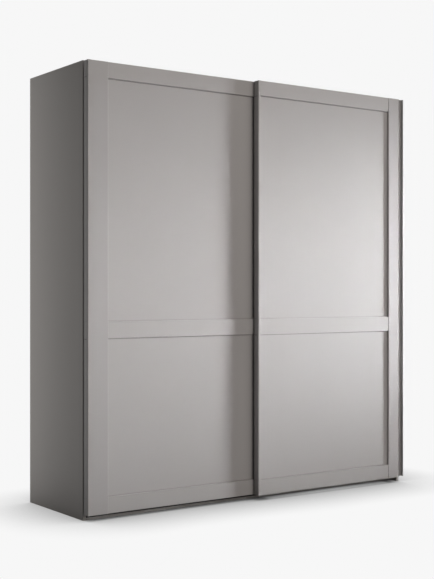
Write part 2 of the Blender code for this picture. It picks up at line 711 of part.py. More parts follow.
def build_front_guide(name, x, carrier):
    """A nylon arm from the front door's back, under the rear door, to the blade that points down."""
    front_jaw, rear_jaw = jaw_spans()
    back = FRONT_DOOR_BACK + SEAT_GAP
    arm_high = DOOR_BOTTOM - GUIDE_ARM_CLEARANCE
    arm_low = arm_high - GUIDE_ARM
    blade_low = GUIDE_WEB_HEIGHT - GUIDE_WEB / 2 - GUIDE_BLADE_LENGTH
    jaw_high = GUIDE_WEB_HEIGHT - GUIDE_WEB / 2 - 2 * RUNNING_GAP
    groove_low = blade_low - RUNNING_GAP
    foot = back + GUIDE_ARM
    outline = [
        (back, arm_low),
        (back, arm_high + GUIDE_FOOT_HEIGHT),
        (foot, arm_high + GUIDE_FOOT_HEIGHT),
        (foot, arm_high),
        (front_jaw[0], arm_high),
        (front_jaw[0], jaw_high),
        (front_jaw[1], jaw_high),
        (front_jaw[1], groove_low),
        (rear_jaw[0], groove_low),
        (rear_jaw[0], jaw_high),
        (rear_jaw[1], jaw_high),
        (rear_jaw[1], arm_low),
    ]
    extrude_outline(name, outline, "X", GUIDE_WIDTH, (x, 0, 0), "guide_nylon", carrier)


def build_rear_door():
    """The rear door closes the left half."""
    left = LEFT
    right = LEFT + DOOR_WIDTH
    carrier = add_carrier("rear_door_carrier", (left, REAR_DOOR_FACE, AXLE_Z))
    stile = (left, left + OUTER_STILE_WIDTH)
    meeting = (right - MEETING_STRIP_WIDTH, right)
    build_door_leaf("rear_door", left, right, REAR_DOOR_FACE, stile, meeting, carrier)
    hangers = (left + HANGER_INSET, right - HANGER_INSET)
    build_running_gear("rear_door", hangers, REAR_RIB_Y, build_rear_hanger, carrier)
    build_rear_guide("rear_door_left_guide", left + GUIDE_INSET, carrier)
    build_rear_guide("rear_door_right_guide", right - GUIDE_INSET, carrier)


def build_grip_profile(carrier):
    """The aluminium profile on the front door's right edge, with the finger channel in it."""
    face = FRONT_DOOR_FACE
    wall_right = GRIP_LEFT + GRIP_WALL
    web_front = face + GRIP_DEPTH
    web_back = web_front + GRIP_WALL
    lip_left = RIGHT - GRIP_LIP
    outline = [
        (GRIP_LEFT, face),
        (wall_right, face),
        (wall_right, web_front),
        (lip_left, web_front),
        (lip_left, face),
        (RIGHT, face),
        (RIGHT, web_back),
        (wall_right, web_back),
        (wall_right, face + GRIP_TAIL),
        (GRIP_LEFT, face + GRIP_TAIL),
    ]
    low = DOOR_BOTTOM + GRIP_BOTTOM_CUT
    profile = extrude_outline("front_door_grip_profile", outline, "Z", DOOR_TOP - low,
                              (0, 0, (DOOR_TOP + low) / 2), "grip_metal", carrier)
    round_edges(profile, METAL_EDGE, 2)


def build_front_door():
    """The front door closes the right half."""
    left = RIGHT - DOOR_WIDTH
    slab_right = GRIP_LEFT - SEAT_GAP
    carrier = add_carrier("front_door_carrier", (left, FRONT_DOOR_FACE, AXLE_Z))
    stile = (GRIP_LEFT + GRIP_WALL - GRIP_STILE_WIDTH, slab_right)
    meeting = (left, left + MEETING_STRIP_WIDTH)
    build_door_leaf("front_door", left, slab_right, FRONT_DOOR_FACE, stile, meeting, carrier)
    hangers = (left + HANGER_INSET, RIGHT - HANGER_INSET)
    build_running_gear("front_door", hangers, FRONT_RIB_Y, build_front_hanger, carrier)
    build_front_guide("front_door_left_guide", left + GUIDE_INSET, carrier)
    build_front_guide("front_door_right_guide", RIGHT - GUIDE_INSET, carrier)
    build_grip_profile(carrier)


for item in list(bpy.data.objects):
    bpy.data.objects.remove(item, do_unlink=True)

build_carcase()
build_interior()
build_track()
build_stops()
build_guide_rail()
build_rear_door()
build_front_door()
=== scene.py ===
import math
import random

import bmesh
import bpy
from mathutils import Matrix, Vector


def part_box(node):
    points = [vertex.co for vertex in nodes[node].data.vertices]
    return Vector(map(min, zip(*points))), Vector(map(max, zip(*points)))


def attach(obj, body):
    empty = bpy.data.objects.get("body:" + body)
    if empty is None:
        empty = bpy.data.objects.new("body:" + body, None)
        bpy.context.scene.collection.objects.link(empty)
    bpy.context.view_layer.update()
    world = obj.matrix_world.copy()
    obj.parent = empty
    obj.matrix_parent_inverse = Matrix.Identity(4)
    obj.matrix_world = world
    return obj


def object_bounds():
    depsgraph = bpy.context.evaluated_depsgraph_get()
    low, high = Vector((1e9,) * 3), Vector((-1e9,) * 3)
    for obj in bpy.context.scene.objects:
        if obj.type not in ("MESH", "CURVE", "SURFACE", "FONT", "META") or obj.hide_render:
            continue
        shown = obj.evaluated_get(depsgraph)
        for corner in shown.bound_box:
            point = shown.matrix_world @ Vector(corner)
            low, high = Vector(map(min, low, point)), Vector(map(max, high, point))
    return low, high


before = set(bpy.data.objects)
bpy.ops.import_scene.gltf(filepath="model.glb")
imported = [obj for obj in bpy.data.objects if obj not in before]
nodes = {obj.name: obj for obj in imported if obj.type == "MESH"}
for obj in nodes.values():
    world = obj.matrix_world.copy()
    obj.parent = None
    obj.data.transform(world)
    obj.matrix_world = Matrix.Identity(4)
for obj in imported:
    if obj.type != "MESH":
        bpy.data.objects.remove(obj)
cad_low, cad_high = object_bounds()
scene = bpy.context.scene

# ---------------------------------------------------------------------------
# Stage: a long-lens camera to the left of the wardrobe at chest height, a
# seamless pale floor, keys low on the right and large weak fills. None of it
# belongs to the wardrobe.
# ---------------------------------------------------------------------------

camera_data = bpy.data.cameras.new("camera")
camera_data.lens = 69.24
camera_data.sensor_width = 36
camera_data.shift_y = 0.0019
camera_data.clip_end = 200
camera = bpy.data.objects.new("camera", camera_data)
camera.location = (-3.509, -4.883, 1.084)
camera.rotation_euler = (math.radians(90), 0, math.radians(-35.234))
scene.collection.objects.link(camera)
scene.camera = camera
scene.view_settings.view_transform = "Standard"


class Wire:
    """An output of a shader node. Sums, products and comparisons with it add Math nodes."""

    def __init__(self, shading, socket):
        self.shading = shading
        self.socket = socket

    def beside(self, output):
        """Another output of the same node."""
        return Wire(self.shading, self.socket.node.outputs[output])

    def joined(self, operation, first, second):
        return self.shading.node("ShaderNodeMath", {"operation": operation}, {0: first, 1: second})

    def __add__(self, other):
        return self.joined("ADD", self, other)

    def __radd__(self, other):
        return self.joined("ADD", other, self)

    def __sub__(self, other):
        return self.joined("SUBTRACT", self, other)

    def __rsub__(self, other):
        return self.joined("SUBTRACT", other, self)

    def __mul__(self, other):
        return self.joined("MULTIPLY", self, other)

    def __rmul__(self, other):
        return self.joined("MULTIPLY", other, self)

    def __gt__(self, other):
        return self.joined("GREATER_THAN", self, other)

    def __lt__(self, other):
        return self.joined("LESS_THAN", self, other)


class Shading:
    """The shader nodes of one material, or of the world."""

    def __init__(self, owner):
        owner.use_nodes = True
        self.tree = owner.node_tree

    def cleared(self):
        """The same shading without the nodes that it came with."""
        self.tree.nodes.clear()
        return self

    def node(self, kind, settings=None, inputs=None, output=0):
        """Add a node: its settings first, then the values or wires of its sockets."""
        made = self.tree.nodes.new(kind)
        for name, value in (settings or {}).items():
            if name == "stops":
                elements = made.color_ramp.elements
                while len(elements) < len(value):
                    elements.new(0.5)
                for element, (position, level) in zip(elements, value):
                    element.position = position
                    element.color = (level, level, level, 1)
            else:
                setattr(made, name, value)
        for name, value in (inputs or {}).items():
            if isinstance(value, Wire):
                self.tree.links.new(value.socket, made.inputs[name])
            else:
                made.inputs[name].default_value = value
        return Wire(self, made.outputs[output]) if made.outputs else None


BACKDROP_LEVEL = 0.930
BACKDROP_GREY = (BACKDROP_LEVEL, BACKDROP_LEVEL, BACKDROP_LEVEL, 1)
FLOOR_REACH = 60
FLOOR_DROP = 0.0005
SHADOW_REACH = 0.42
BOUNCE = 0.23

floor_mesh = bpy.data.meshes.new("floor")
floor_mesh.from_pydata([(-FLOOR_REACH, -FLOOR_REACH, 0), (FLOOR_REACH, -FLOOR_REACH, 0),
                        (FLOOR_REACH, FLOOR_REACH, 0), (-FLOOR_REACH, FLOOR_REACH, 0)], [], [(0, 1, 2, 3)])
floor = bpy.data.objects.new("floor", floor_mesh)
floor.location.z = cad_low.z - FLOOR_DROP
scene.collection.objects.link(floor)

# The floor glows as pale as the backdrop, with a soft shadow close to the wardrobe. The light that it
# throws up dies out where something stands close over it.
floor_paint = bpy.data.materials.new("floor_paint")
painted = Shading(floor_paint).cleared()
near_base = painted.node("ShaderNodeAmbientOcclusion", {"samples": 16},
                         {"Distance": SHADOW_REACH, "Color": BACKDROP_GREY}, output="Color")
open_above = painted.node("ShaderNodeMath", {"operation": "MULTIPLY_ADD", "use_clamp": True},
                          {0: near_base.beside("AO"), 1: 2.2, 2: -0.9})
glow = painted.node("ShaderNodeEmission", inputs={"Color": near_base})
bounce = painted.node("ShaderNodeEmission", inputs={"Color": open_above, "Strength": BOUNCE})
floor_seen = painted.node("ShaderNodeLightPath", output="Is Camera Ray")
floor_light = painted.node("ShaderNodeMixShader", inputs={"Fac": floor_seen, 1: bounce, 2: glow})
painted.node("ShaderNodeOutputMaterial", inputs={"Surface": floor_light})
floor_mesh.materials.append(floor_paint)

world = bpy.data.worlds.new("studio")
around = Shading(world).cleared()
backdrop = around.node("ShaderNodeBackground", inputs={"Color": (1, 1, 1, 1), "Strength": BACKDROP_LEVEL})
dark_room = around.node("ShaderNodeBackground", inputs={"Strength": 0.0})
backdrop_seen = around.node("ShaderNodeLightPath", output="Is Camera Ray")
room_light = around.node("ShaderNodeMixShader", inputs={"Fac": backdrop_seen, 1: dark_room, 2: backdrop})
around.node("ShaderNodeOutputWorld", inputs={"Surface": room_light})
scene.world = world


def soft_box(name, place, aim, size, power, colour=(1, 1, 1), spread=180):
    """A rectangular light that faces a point. size is its width and height, spread is in degrees."""
    data = bpy.data.lights.new(name, "AREA")
    data.shape = "RECTANGLE"
    data.size, data.size_y = size
    data.energy = power
    data.color = colour
    data.spread = math.radians(spread)
    light = bpy.data.objects.new(name, data)
    light.location = place
    light.rotation_euler = (Vector(aim) - Vector(place)).to_track_quat("-Z", "Y").to_euler()
    light.visible_camera = False
    scene.collection.objects.link(light)


KEY_COLOUR = (0.96, 0.98, 1.0)
FILL_COLOUR = (1.0, 0.94, 0.885)
SIDE_COLOUR = (1.0, 0.975, 0.955)

soft_box("key_low", (6.0, -2.294, 0.9), (0.05, -0.3, 0.87), (1.5, 0.9), 11.9, KEY_COLOUR, 30)
soft_box("key_high", (5.0, -1.854, 2.0), (-0.1, -0.3, 1.3), (0.80, 0.5), 6.8, KEY_COLOUR, 30)
soft_box("key_near_low", (4.0, -1.643, 0.82), (-0.4, -0.3, 0.76), (0.75, 0.9), 2.5, KEY_COLOUR, 30)
soft_box("key_near_high", (4.0, -1.643, 2.6), (-0.5, -0.3, 1.2), (0.75, 0.6), 1.5, KEY_COLOUR, 30)
soft_box("key_raking", (5.0, -1.423, 1.3), (-0.4, -0.3, 1.0), (0.70, 0.5), 2.1, KEY_COLOUR, 35)
soft_box("front_fill", (0.3, -6.0, 1.5), (0.0, -0.3, 1.1), (2.0, 3.0), 88, FILL_COLOUR)
soft_box("right_fill", (3.0, -5.5, 1.8), (0.2, -0.3, 1.1), (2.0, 3.0), 22, FILL_COLOUR)
soft_box("top_fill", (0, -4.0, 4.5), (0, -0.3, 1.1), (4.0, 2.0), 46, FILL_COLOUR)
soft_box("side_fill", (-2.6, 0.6, 1.1), (-1.0, 0.2, 1.1), (0.8, 2.4), 5.8, SIDE_COLOUR)
soft_box("side_strip", (-1.25, 0.55, 1.1), (-1.0, 0.3, 1.1), (0.2, 2.6), 2.1, SIDE_COLOUR)
soft_box("rear_fill", (1.2, 5.5, 3.2), (0, 0.3, 1.0), (4.0, 3.0), 210)
soft_box("overhead_fill", (0.2, 1.6, 5.2), (0, 0.3, 2.1), (3.0, 1.6), 90)

# A net on a stand holds part of the keys back from the right side panel, and none from the doors. It
# is thickest at its front edge, half way up, and thins out to nothing.
NET_THINNEST = 1.0
NET_THICKEST = 0.35

net_mesh = bpy.data.meshes.new("net")
net_mesh.from_pydata([(0, 0, -1), (0, 1, -1), (0, 1, 1), (0, 0, 1)], [], [(0, 1, 2, 3)])
net = bpy.data.objects.new("net", net_mesh)
net.location = (1.35, -0.385, 1.3)
net.scale = (1, 0.75, 0.85)
net.visible_camera = False
net.visible_diffuse = False
net.visible_glossy = False
scene.collection.objects.link(net)

net_cloth = bpy.data.materials.new("net_cloth")
netting = Shading(net_cloth).cleared()
net_place = netting.node("ShaderNodeTexCoord", output="Object")
from_middle = netting.node("ShaderNodeTexGradient", {"gradient_type": "SPHERICAL"},
                           {"Vector": net_place}, output="Fac")
let_through = netting.node("ShaderNodeMapRange", inputs={"Value": from_middle, "To Min": NET_THINNEST,
                                                         "To Max": NET_THICKEST}, output="Result")
see_through = netting.node("ShaderNodeBsdfTransparent", inputs={"Color": let_through})
netting.node("ShaderNodeOutputMaterial", inputs={"Surface": see_through})
net_mesh.materials.append(net_cloth)

# ---------------------------------------------------------------------------
# Outer boards: the two side panels and the filler strip are chipboard wrapped
# in a smooth matt grey foil, with a thin band glued on the front edges. Their
# rear and bottom edges are raw board. Cams hold them.
# ---------------------------------------------------------------------------

GREY = (0.345, 0.330, 0.318)
LINEN = (0.56, 0.53, 0.49)
CHIPBOARD = (0.42, 0.31, 0.20)
RUBBED_FOIL = (0.62, 0.60, 0.58)
FOIL_ROUGHNESS = 0.50
PORE = 0.0011
PORE_DEPTH = 0.00006
THREAD = 0.0012
CHIP = 0.004
CLOUD = 0.35
BOARD_EDGE = 0.0016
REAR_EDGE_FROM = 0.3292
BOTTOM_EDGE_TO = 0.0009


class Finish(Shading):
    """A material for one of the wardrobe's surfaces. Lengths in it are in metres."""

    def __init__(self, name, colour, roughness, metallic=0.0, specular=0.5):
        self.material = bpy.data.materials.new(name)
        super().__init__(self.material)
        self.shader = self.tree.nodes["Principled BSDF"]
        self.shader.inputs["Base Color"].default_value = (*colour, 1)
        self.shader.inputs["Roughness"].default_value = roughness
        self.shader.inputs["Metallic"].default_value = metallic
        self.shader.inputs["Specular IOR Level"].default_value = specular
        self.place = self.node("ShaderNodeTexCoord", output="Object")

    def feed(self, name, value):
        """Drive one socket of the surface shader."""
        self.tree.links.new(value.socket, self.shader.inputs[name])

    def noise(self, size, detail=2.0, rough=0.5, stretch=None):
        """Cloudy variation from 0 to 1. size is how wide its patches are."""
        place = self.place
        if stretch:
            place = self.node("ShaderNodeVectorMath", {"operation": "MULTIPLY"}, {0: place, 1: stretch})
        return self.node("ShaderNodeTexNoise", {"noise_dimensions": "3D"},
                         {"Vector": place, "Scale": 1 / size, "Detail": detail, "Roughness": rough})

    def along(self, axis):
        """Distance along X, Y or Z in the wardrobe's own frame."""
        return self.node("ShaderNodeSeparateXYZ", inputs={0: self.place}, output=axis)

    def facing(self, axis):
        """How far the surface faces along an axis, from -1 to 1."""
        normal = self.node("ShaderNodeNewGeometry", output="Normal")
        return self.node("ShaderNodeSeparateXYZ", inputs={0: normal}, output=axis)

    def ramp(self, value, stops):
        """A value passed through straight-line stops of (position, level)."""
        return self.node("ShaderNodeValToRGB", {"stops": stops}, {"Fac": value})

    def blend(self, amount, first, second):
        """A colour between two, by an amount from 0 to 1."""
        first = first if isinstance(first, Wire) else (*first, 1)
        second = second if isinstance(second, Wire) else (*second, 1)
        return self.node("ShaderNodeMix", {"data_type": "RGBA"},
                         {"Factor": amount, 6: first, 7: second}, output=2)

    def shade(self, colour, level):
        """A colour multiplied by a grey level."""
        grey = self.node("ShaderNodeCombineXYZ", inputs={0: level, 1: level, 2: level})
        return self.node("ShaderNodeVectorMath", {"operation": "MULTIPLY"}, {0: colour, 1: grey})

    def edge_wear_and_sheen(self, width):
        """1 on rounded edges, 0 on flat faces. The finishes lighten these edges as rubbed wear; on the doors the
        lightening is also a painted highlight.
        """
        round_normal = self.node("ShaderNodeBevel", {"samples": 4}, {"Radius": width})
        normal = self.node("ShaderNodeNewGeometry", output="Normal")
        bend = self.node("ShaderNodeVectorMath", {"operation": "DOT_PRODUCT"},
                         {0: round_normal, 1: normal}, output="Value")
        return self.ramp(bend, [(0.80, 1.0), (0.995, 0.0)])

    def raw_board(self):
        """The chips that show on an edge without foil."""
        chips = self.noise(CHIP, 4, 0.65)
        return self.shade(CHIPBOARD, self.ramp(chips, [(0.35, 0.55), (0.65, 1.15)]))

    def bumps(self, height, depth):
        """Relief from a height from 0 to 1, that deep in metres."""
        return self.node("ShaderNodeBump", inputs={"Height": height, "Strength": 1.0, "Distance": depth},
                         output="Normal")


def put_on(finish, names):
    """Give CAD nodes a finish in place of the plain one they came with."""
    for name in names:
        nodes[name].data.materials.clear()
        nodes[name].data.materials.append(finish.material)


def foil(name, inward=None):
    """Foil over chipboard: fine pores and faint clouds.

    inward is the axis and the way in from a side panel, whose inner face is lined with linen foil.
    """
    made = Finish(name, GREY, FOIL_ROUGHNESS, specular=0.45)
    pores = made.noise(PORE, 3, 0.6)
    clouds = made.noise(CLOUD, 3)
    colour = made.shade(GREY, 0.965 + 0.05 * clouds + 0.02 * pores)
    if inward:
        axis, way = inward
        inside = made.facing(axis) * way > 0.5
        weave = made.noise(THREAD, 2, 0.6, (1, 1, 0.12))
        colour = made.blend(inside, colour, made.shade(LINEN, 0.93 + 0.10 * weave + 0.05 * clouds))
    raw_edge = (made.along("Y") > REAR_EDGE_FROM) + (made.along("Z") < BOTTOM_EDGE_TO)
    colour = made.blend(raw_edge, colour, made.raw_board())
    made.feed("Base Color", made.blend(made.edge_wear_and_sheen(BOARD_EDGE) * 0.25, colour, RUBBED_FOIL))
    made.feed("Roughness", FOIL_ROUGHNESS - 0.05 + 0.08 * clouds + 0.06 * pores)
    made.feed("Normal", made.bumps(pores, PORE_DEPTH))
    return made


put_on(foil("left_side_foil", ("X", 1)), ["left_side_panel"])
put_on(foil("right_side_foil", ("X", -1)), ["right_side_panel"])
put_on(foil("filler_foil"), ["right_filler_strip"])

# ---------------------------------------------------------------------------
# Front plinth: a chipboard strip in the same foil, set back under the doors.
# It is painted near black from just above the floor and a little darker below that: painted shade for the gap under
# the doors.
# ---------------------------------------------------------------------------

PLINTH_GREY_TO = 0.0105
PLINTH_SHADE_FROM = 0.0125
PLINTH_RAMP_HEIGHT = 0.025
PLINTH_LOW_SHADE_LEVEL = 0.70
PLINTH_PAINTED_SHADE_LEVEL = 0.03

plinth_foil = Finish("plinth_foil", GREY, FOIL_ROUGHNESS)
plinth_pores = plinth_foil.noise(PORE, 3, 0.6)
# Painted shade: the plinth goes from a darkened grey at the floor to near black above, where the doors shade it.
plinth_painted_shade = plinth_foil.ramp(plinth_foil.along("Z") * (1 / PLINTH_RAMP_HEIGHT),
                                [(PLINTH_GREY_TO / PLINTH_RAMP_HEIGHT, PLINTH_LOW_SHADE_LEVEL),
                                 (PLINTH_SHADE_FROM / PLINTH_RAMP_HEIGHT, PLINTH_PAINTED_SHADE_LEVEL)])
plinth_foil.feed("Base Color", plinth_foil.shade(GREY, plinth_painted_shade * (0.95 + 0.08 * plinth_pores)))
plinth_foil.feed("Roughness", 0.48 + 0.08 * plinth_pores)
plinth_foil.feed("Normal", plinth_foil.bumps(plinth_pores, PORE_DEPTH))
put_on(plinth_foil, ["front_plinth"])

# ---------------------------------------------------------------------------
# Inner boards: top, bottom, centre partition, rear plinth and shelves are
# chipboard in a pale foil printed and pressed to look like linen. They are
# dowelled and drawn together with cams; the shelves lie on pins.
# ---------------------------------------------------------------------------

RUBBED_LINEN = (0.70, 0.68, 0.64)
INNER_REAR_EDGE_FROM = 0.3172
THREAD_DEPTH = 0.00012

linen_foil = Finish("linen_foil", LINEN, 0.6, specular=0.4)
warp = linen_foil.noise(PORE, 2, 0.6, (1, 0.08, 1))
weft = linen_foil.noise(PORE, 2, 0.6, (0.08, 1, 0.08))
threads = 0.5 * warp + 0.5 * weft
linen_clouds = linen_foil.noise(0.4, 3)
linen_tone = linen_foil.shade(LINEN, 0.86 + 0.22 * threads + 0.05 * linen_clouds)
inner_rear_edge = linen_foil.along("Y") > INNER_REAR_EDGE_FROM
linen_tone = linen_foil.blend(inner_rear_edge, linen_tone, linen_foil.raw_board())
linen_rub = linen_foil.edge_wear_and_sheen(BOARD_EDGE)
linen_foil.feed("Base Color", linen_foil.blend(linen_rub * 0.2, linen_tone, RUBBED_LINEN))
linen_foil.feed("Roughness", 0.52 + 0.14 * threads)
linen_foil.feed("Normal", linen_foil.bumps(threads, THREAD_DEPTH))
put_on(linen_foil, ["top_panel", "bottom_panel", "centre_partition", "rear_plinth", "left_shelf", "right_shelf"])

# ---------------------------------------------------------------------------
# Cam covers: small moulded discs pressed over the cams under the top panel,
# three at each end of its two spans, in a plastic that matches the linen.
# ---------------------------------------------------------------------------

COVER_PLASTIC = (0.53, 0.50, 0.46)
COVER_GRAIN = 0.0008
COVER_INSET = 0.034
COVER_MARGIN = 0.05
COVER_RINGS = [(0.0086, -0.0002), (0.0090, 0.0004), (0.0088, 0.0009), (0.0078, 0.0012), (0.0040, 0.0013),
               (0.0038, 0.0009), (0.0006, 0.0009)]

cover_plastic = Finish("cam_cover_plastic", COVER_PLASTIC, 0.45, specular=0.45)
cover_grain = cover_plastic.noise(COVER_GRAIN)
cover_plastic.feed("Base Color", cover_plastic.shade(COVER_PLASTIC, 0.94 + 0.12 * cover_grain))
cover_plastic.feed("Roughness", 0.40 + 0.12 * cover_grain)
cover_plastic.feed("Normal", cover_plastic.bumps(cover_grain, 0.00003))


def bridge(mesh, below, above):
    """Faces between two closed rings of the same number of points."""
    for step in range(len(below)):
        following = (step + 1) % len(below)
        mesh.faces.new((below[step], below[following], above[following], above[step]))


def stand_on(place, out):
    """The move that stands something made on the ground on a face, where out is the way off it."""
    turn = Vector((0, 0, 1)).rotation_difference(Vector(out)).to_matrix().to_4x4()
    return Matrix.Translation(Vector(place)) @ turn


def finished_piece(mesh, name, finish, body, crease=None):
    """A bmesh made into a piece that rides on a body. crease is the angle from which edges stay sharp."""
    data = bpy.data.meshes.new(name)
    mesh.to_mesh(data)
    mesh.free()
    if crease:
        data.shade_smooth()
        data.set_sharp_from_angle(angle=math.radians(crease))
    data.materials.append(finish.material)
    piece = bpy.data.objects.new(name, data)
    scene.collection.objects.link(piece)
    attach(piece, body)


def lathe(name, rings, centres, out, finish, body, around=40):
    """Turned discs as one piece: rings of (radius, height above the face) about each centre."""
    mesh = bmesh.new()
    for centre in centres:
        stand = stand_on(centre, out)
        loops = []
        for radius, height in rings:
            angles = [2 * math.pi * step / around for step in range(around)]
            loops.append([mesh.verts.new(stand @ Vector((radius * math.cos(angle), radius * math.sin(angle),
                                                         height))) for angle in angles])
        for inner, outer in zip(loops, loops[1:]):
            bridge(mesh, inner, outer)
        mesh.faces.new(list(reversed(loops[0])))
        mesh.faces.new(loops[-1])
    bmesh.ops.recalc_face_normals(mesh, faces=mesh.faces)
    finished_piece(mesh, name, finish, body, crease=35)


top_low, top_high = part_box("top_panel")
partition_low, partition_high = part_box("centre_partition")
cover_ends = [top_low.x + COVER_INSET, partition_low.x - COVER_INSET,
              partition_high.x + COVER_INSET, top_high.x - COVER_INSET]
cover_depths = [top_low.y + COVER_MARGIN, (top_low.y + top_high.y) / 2, top_high.y - COVER_MARGIN]
cover_spots = [(x, y, top_low.z) for x in cover_ends for y in cover_depths]
lathe("top_cam_covers", COVER_RINGS, cover_spots, (0, 0, -1), cover_plastic, "carcase")

# ---------------------------------------------------------------------------
# Back panels: thin hardboard, pale foil on the side that faces the clothes
# and bare brown board with a screen pattern behind. Nailed to the boards.
# ---------------------------------------------------------------------------

BARE_BOARD = (0.36, 0.245, 0.15)
FIBRE = 0.0022
SCREEN_CELLS_PER_METRE = 700

hardboard = Finish("hardboard", BARE_BOARD, 0.8, specular=0.25)
fibres = hardboard.noise(FIBRE, 4, 0.7)
patches = hardboard.noise(0.25, 4, 0.6)
screen = hardboard.node("ShaderNodeTexVoronoi", {"feature": "F1"},
                        {"Vector": hardboard.place, "Scale": SCREEN_CELLS_PER_METRE})
bare = hardboard.shade(BARE_BOARD, 0.72 + 0.34 * fibres + 0.22 * patches)
lining_weave = hardboard.noise(PORE, 2, 0.6, (1, 1, 0.08))
lined = hardboard.shade(LINEN, 0.90 + 0.12 * lining_weave + 0.05 * patches)
behind = hardboard.facing("Y") > 0.3
hardboard.feed("Base Color", hardboard.blend(behind, lined, bare))
hardboard.feed("Roughness", 0.58 + 0.25 * behind)
hardboard.feed("Normal", hardboard.bumps(screen * behind + fibres, 0.00015))
put_on(hardboard, ["left_back_panel", "right_back_panel"])

STEEL = (0.44, 0.43, 0.42)
NAIL_RADIUS = 0.0028
NAIL_RISE = 0.0006
NAIL_ROWS = 23
NAIL_ROW_MARGIN = 0.02
NAIL_SIDE_MARGIN = 0.007
NAIL_MIDDLE_GAP = 0.005
NAILS_PER_HALF = 8
NAIL_STEP = 0.1045
HEAD_RINGS = (0.0, 0.12, 0.24, 0.36, 0.50, 0.64, 0.80, 0.93, 1.0)
HEAD_STEPS = 24
CROSS_REACH = 0.6
CROSS_HALF_WIDTH = 0.13

random.seed(11)
dull_steel = Finish("dull_steel", STEEL, 0.5, metallic=1.0)
tarnish = dull_steel.noise(0.003, 3, 0.6)
dull_steel.feed("Base Color", dull_steel.shade(STEEL, 0.75 + 0.4 * tarnish))
dull_steel.feed("Roughness", 0.38 + 0.25 * tarnish)
dull_steel.feed("Normal", dull_steel.bumps(tarnish, 0.00005))


def heads(name, spots, radius, rise, body, recess=0.0):
    """Screw or nail heads as one piece. Each spot is a place on a face and the way out of it.

    recess is how deep the cross for the driver is sunk, or 0 for a plain head.
    """
    mesh = bmesh.new()
    for place, out in spots:
        stand = stand_on(place, out)
        spin = Matrix.Rotation(random.uniform(0, math.pi / 2), 4, "Z")
        loops = []
        for ring in HEAD_RINGS:
            loop = []
            for step in range(HEAD_STEPS if ring else 1):
                angle = 2 * math.pi * step / HEAD_STEPS
                height = rise * math.sqrt(max(0.0, 1 - 0.92 * ring ** 4))
                off_arm = min(abs(math.sin(angle)), abs(math.cos(angle))) * ring
                if recess and ring < CROSS_REACH and off_arm < CROSS_HALF_WIDTH:
                    height -= recess * (1 - ring / 0.72)
                point = Vector((ring * radius * math.cos(angle), ring * radius * math.sin(angle), height))
                loop.append(mesh.verts.new(stand @ (spin @ point)))
            loops.append(loop)
        foot = [mesh.verts.new(vert.co - Vector(out) * (rise * 0.3 + 0.0001)) for vert in loops[-1]]
        loops.append(foot)
        for inner, outer in zip(loops, loops[1:]):
            for step in range(HEAD_STEPS):
                following = (step + 1) % HEAD_STEPS
                if len(inner) == 1:
                    mesh.faces.new((inner[0], outer[step], outer[following]))
                else:
                    mesh.faces.new((inner[step], outer[step], outer[following], inner[following]))
        mesh.faces.new(list(reversed(foot)))
    finished_piece(mesh, name, dull_steel, body, crease=40)


back_low, back_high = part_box("left_back_panel")
back_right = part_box("right_back_panel")[1].x
back_face = back_high.y
nail_spots = []
for row in range(NAIL_ROWS):
    height = back_low.z + NAIL_ROW_MARGIN + row * (back_high.z - back_low.z - 2 * NAIL_ROW_MARGIN) / (NAIL_ROWS - 1)
    for x in (back_low.x + NAIL_SIDE_MARGIN, -NAIL_MIDDLE_GAP, NAIL_MIDDLE_GAP, back_right - NAIL_SIDE_MARGIN):
        nail_x = x + random.uniform(-0.001, 0.001)
        nail_z = height + random.uniform(-0.004, 0.004)
        nail_spots.append(((nail_x, back_face, nail_z), (0, 1, 0)))
for board_name in ("bottom_panel", "top_panel"):
    middle_z = sum(corner.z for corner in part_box(board_name)) / 2
    for step in range(1, NAILS_PER_HALF + 1):
        for side in (-1, 1):
            nail_spots.append(((side * (0.04 + step * NAIL_STEP), back_face, middle_z), (0, 1, 0)))
heads("back_panel_nails", nail_spots, NAIL_RADIUS, NAIL_RISE, "carcase")

# ---------------------------------------------------------------------------
# Clothes rails and their cups: drawn oval steel tube and cast cups, all in
# polished chrome with fine draw lines and a few finger marks. Each cup has a
# thin flange against the board, with a screw above and below.
# ---------------------------------------------------------------------------

CHROME = (0.80, 0.80, 0.81)
FLANGE_HALF_WIDTH = 0.0130
FLANGE_EAR = 0.008
FLANGE_STEPS = 48
FLANGE_LAYERS = ((1.0, -0.0001), (1.0, 0.0012), (0.96, 0.0018))
CUP_SCREW_OFFSET = 0.0042

chrome = Finish("polished_chrome", CHROME, 0.14, metallic=1.0)
smears = chrome.noise(0.03, 4, 0.6)
draw_lines = chrome.noise(THREAD, 2, 0.5, (0.02, 1, 1))
chrome.feed("Base Color", chrome.shade(CHROME, 0.93 + 0.08 * smears))
chrome.feed("Roughness", 0.08 + 0.14 * smears + 0.04 * draw_lines)
chrome.feed("Normal", chrome.bumps(draw_lines, 0.00002))
put_on(chrome, [name for name in nodes if name.endswith("_clothes_rail") or name.endswith("_cup")])

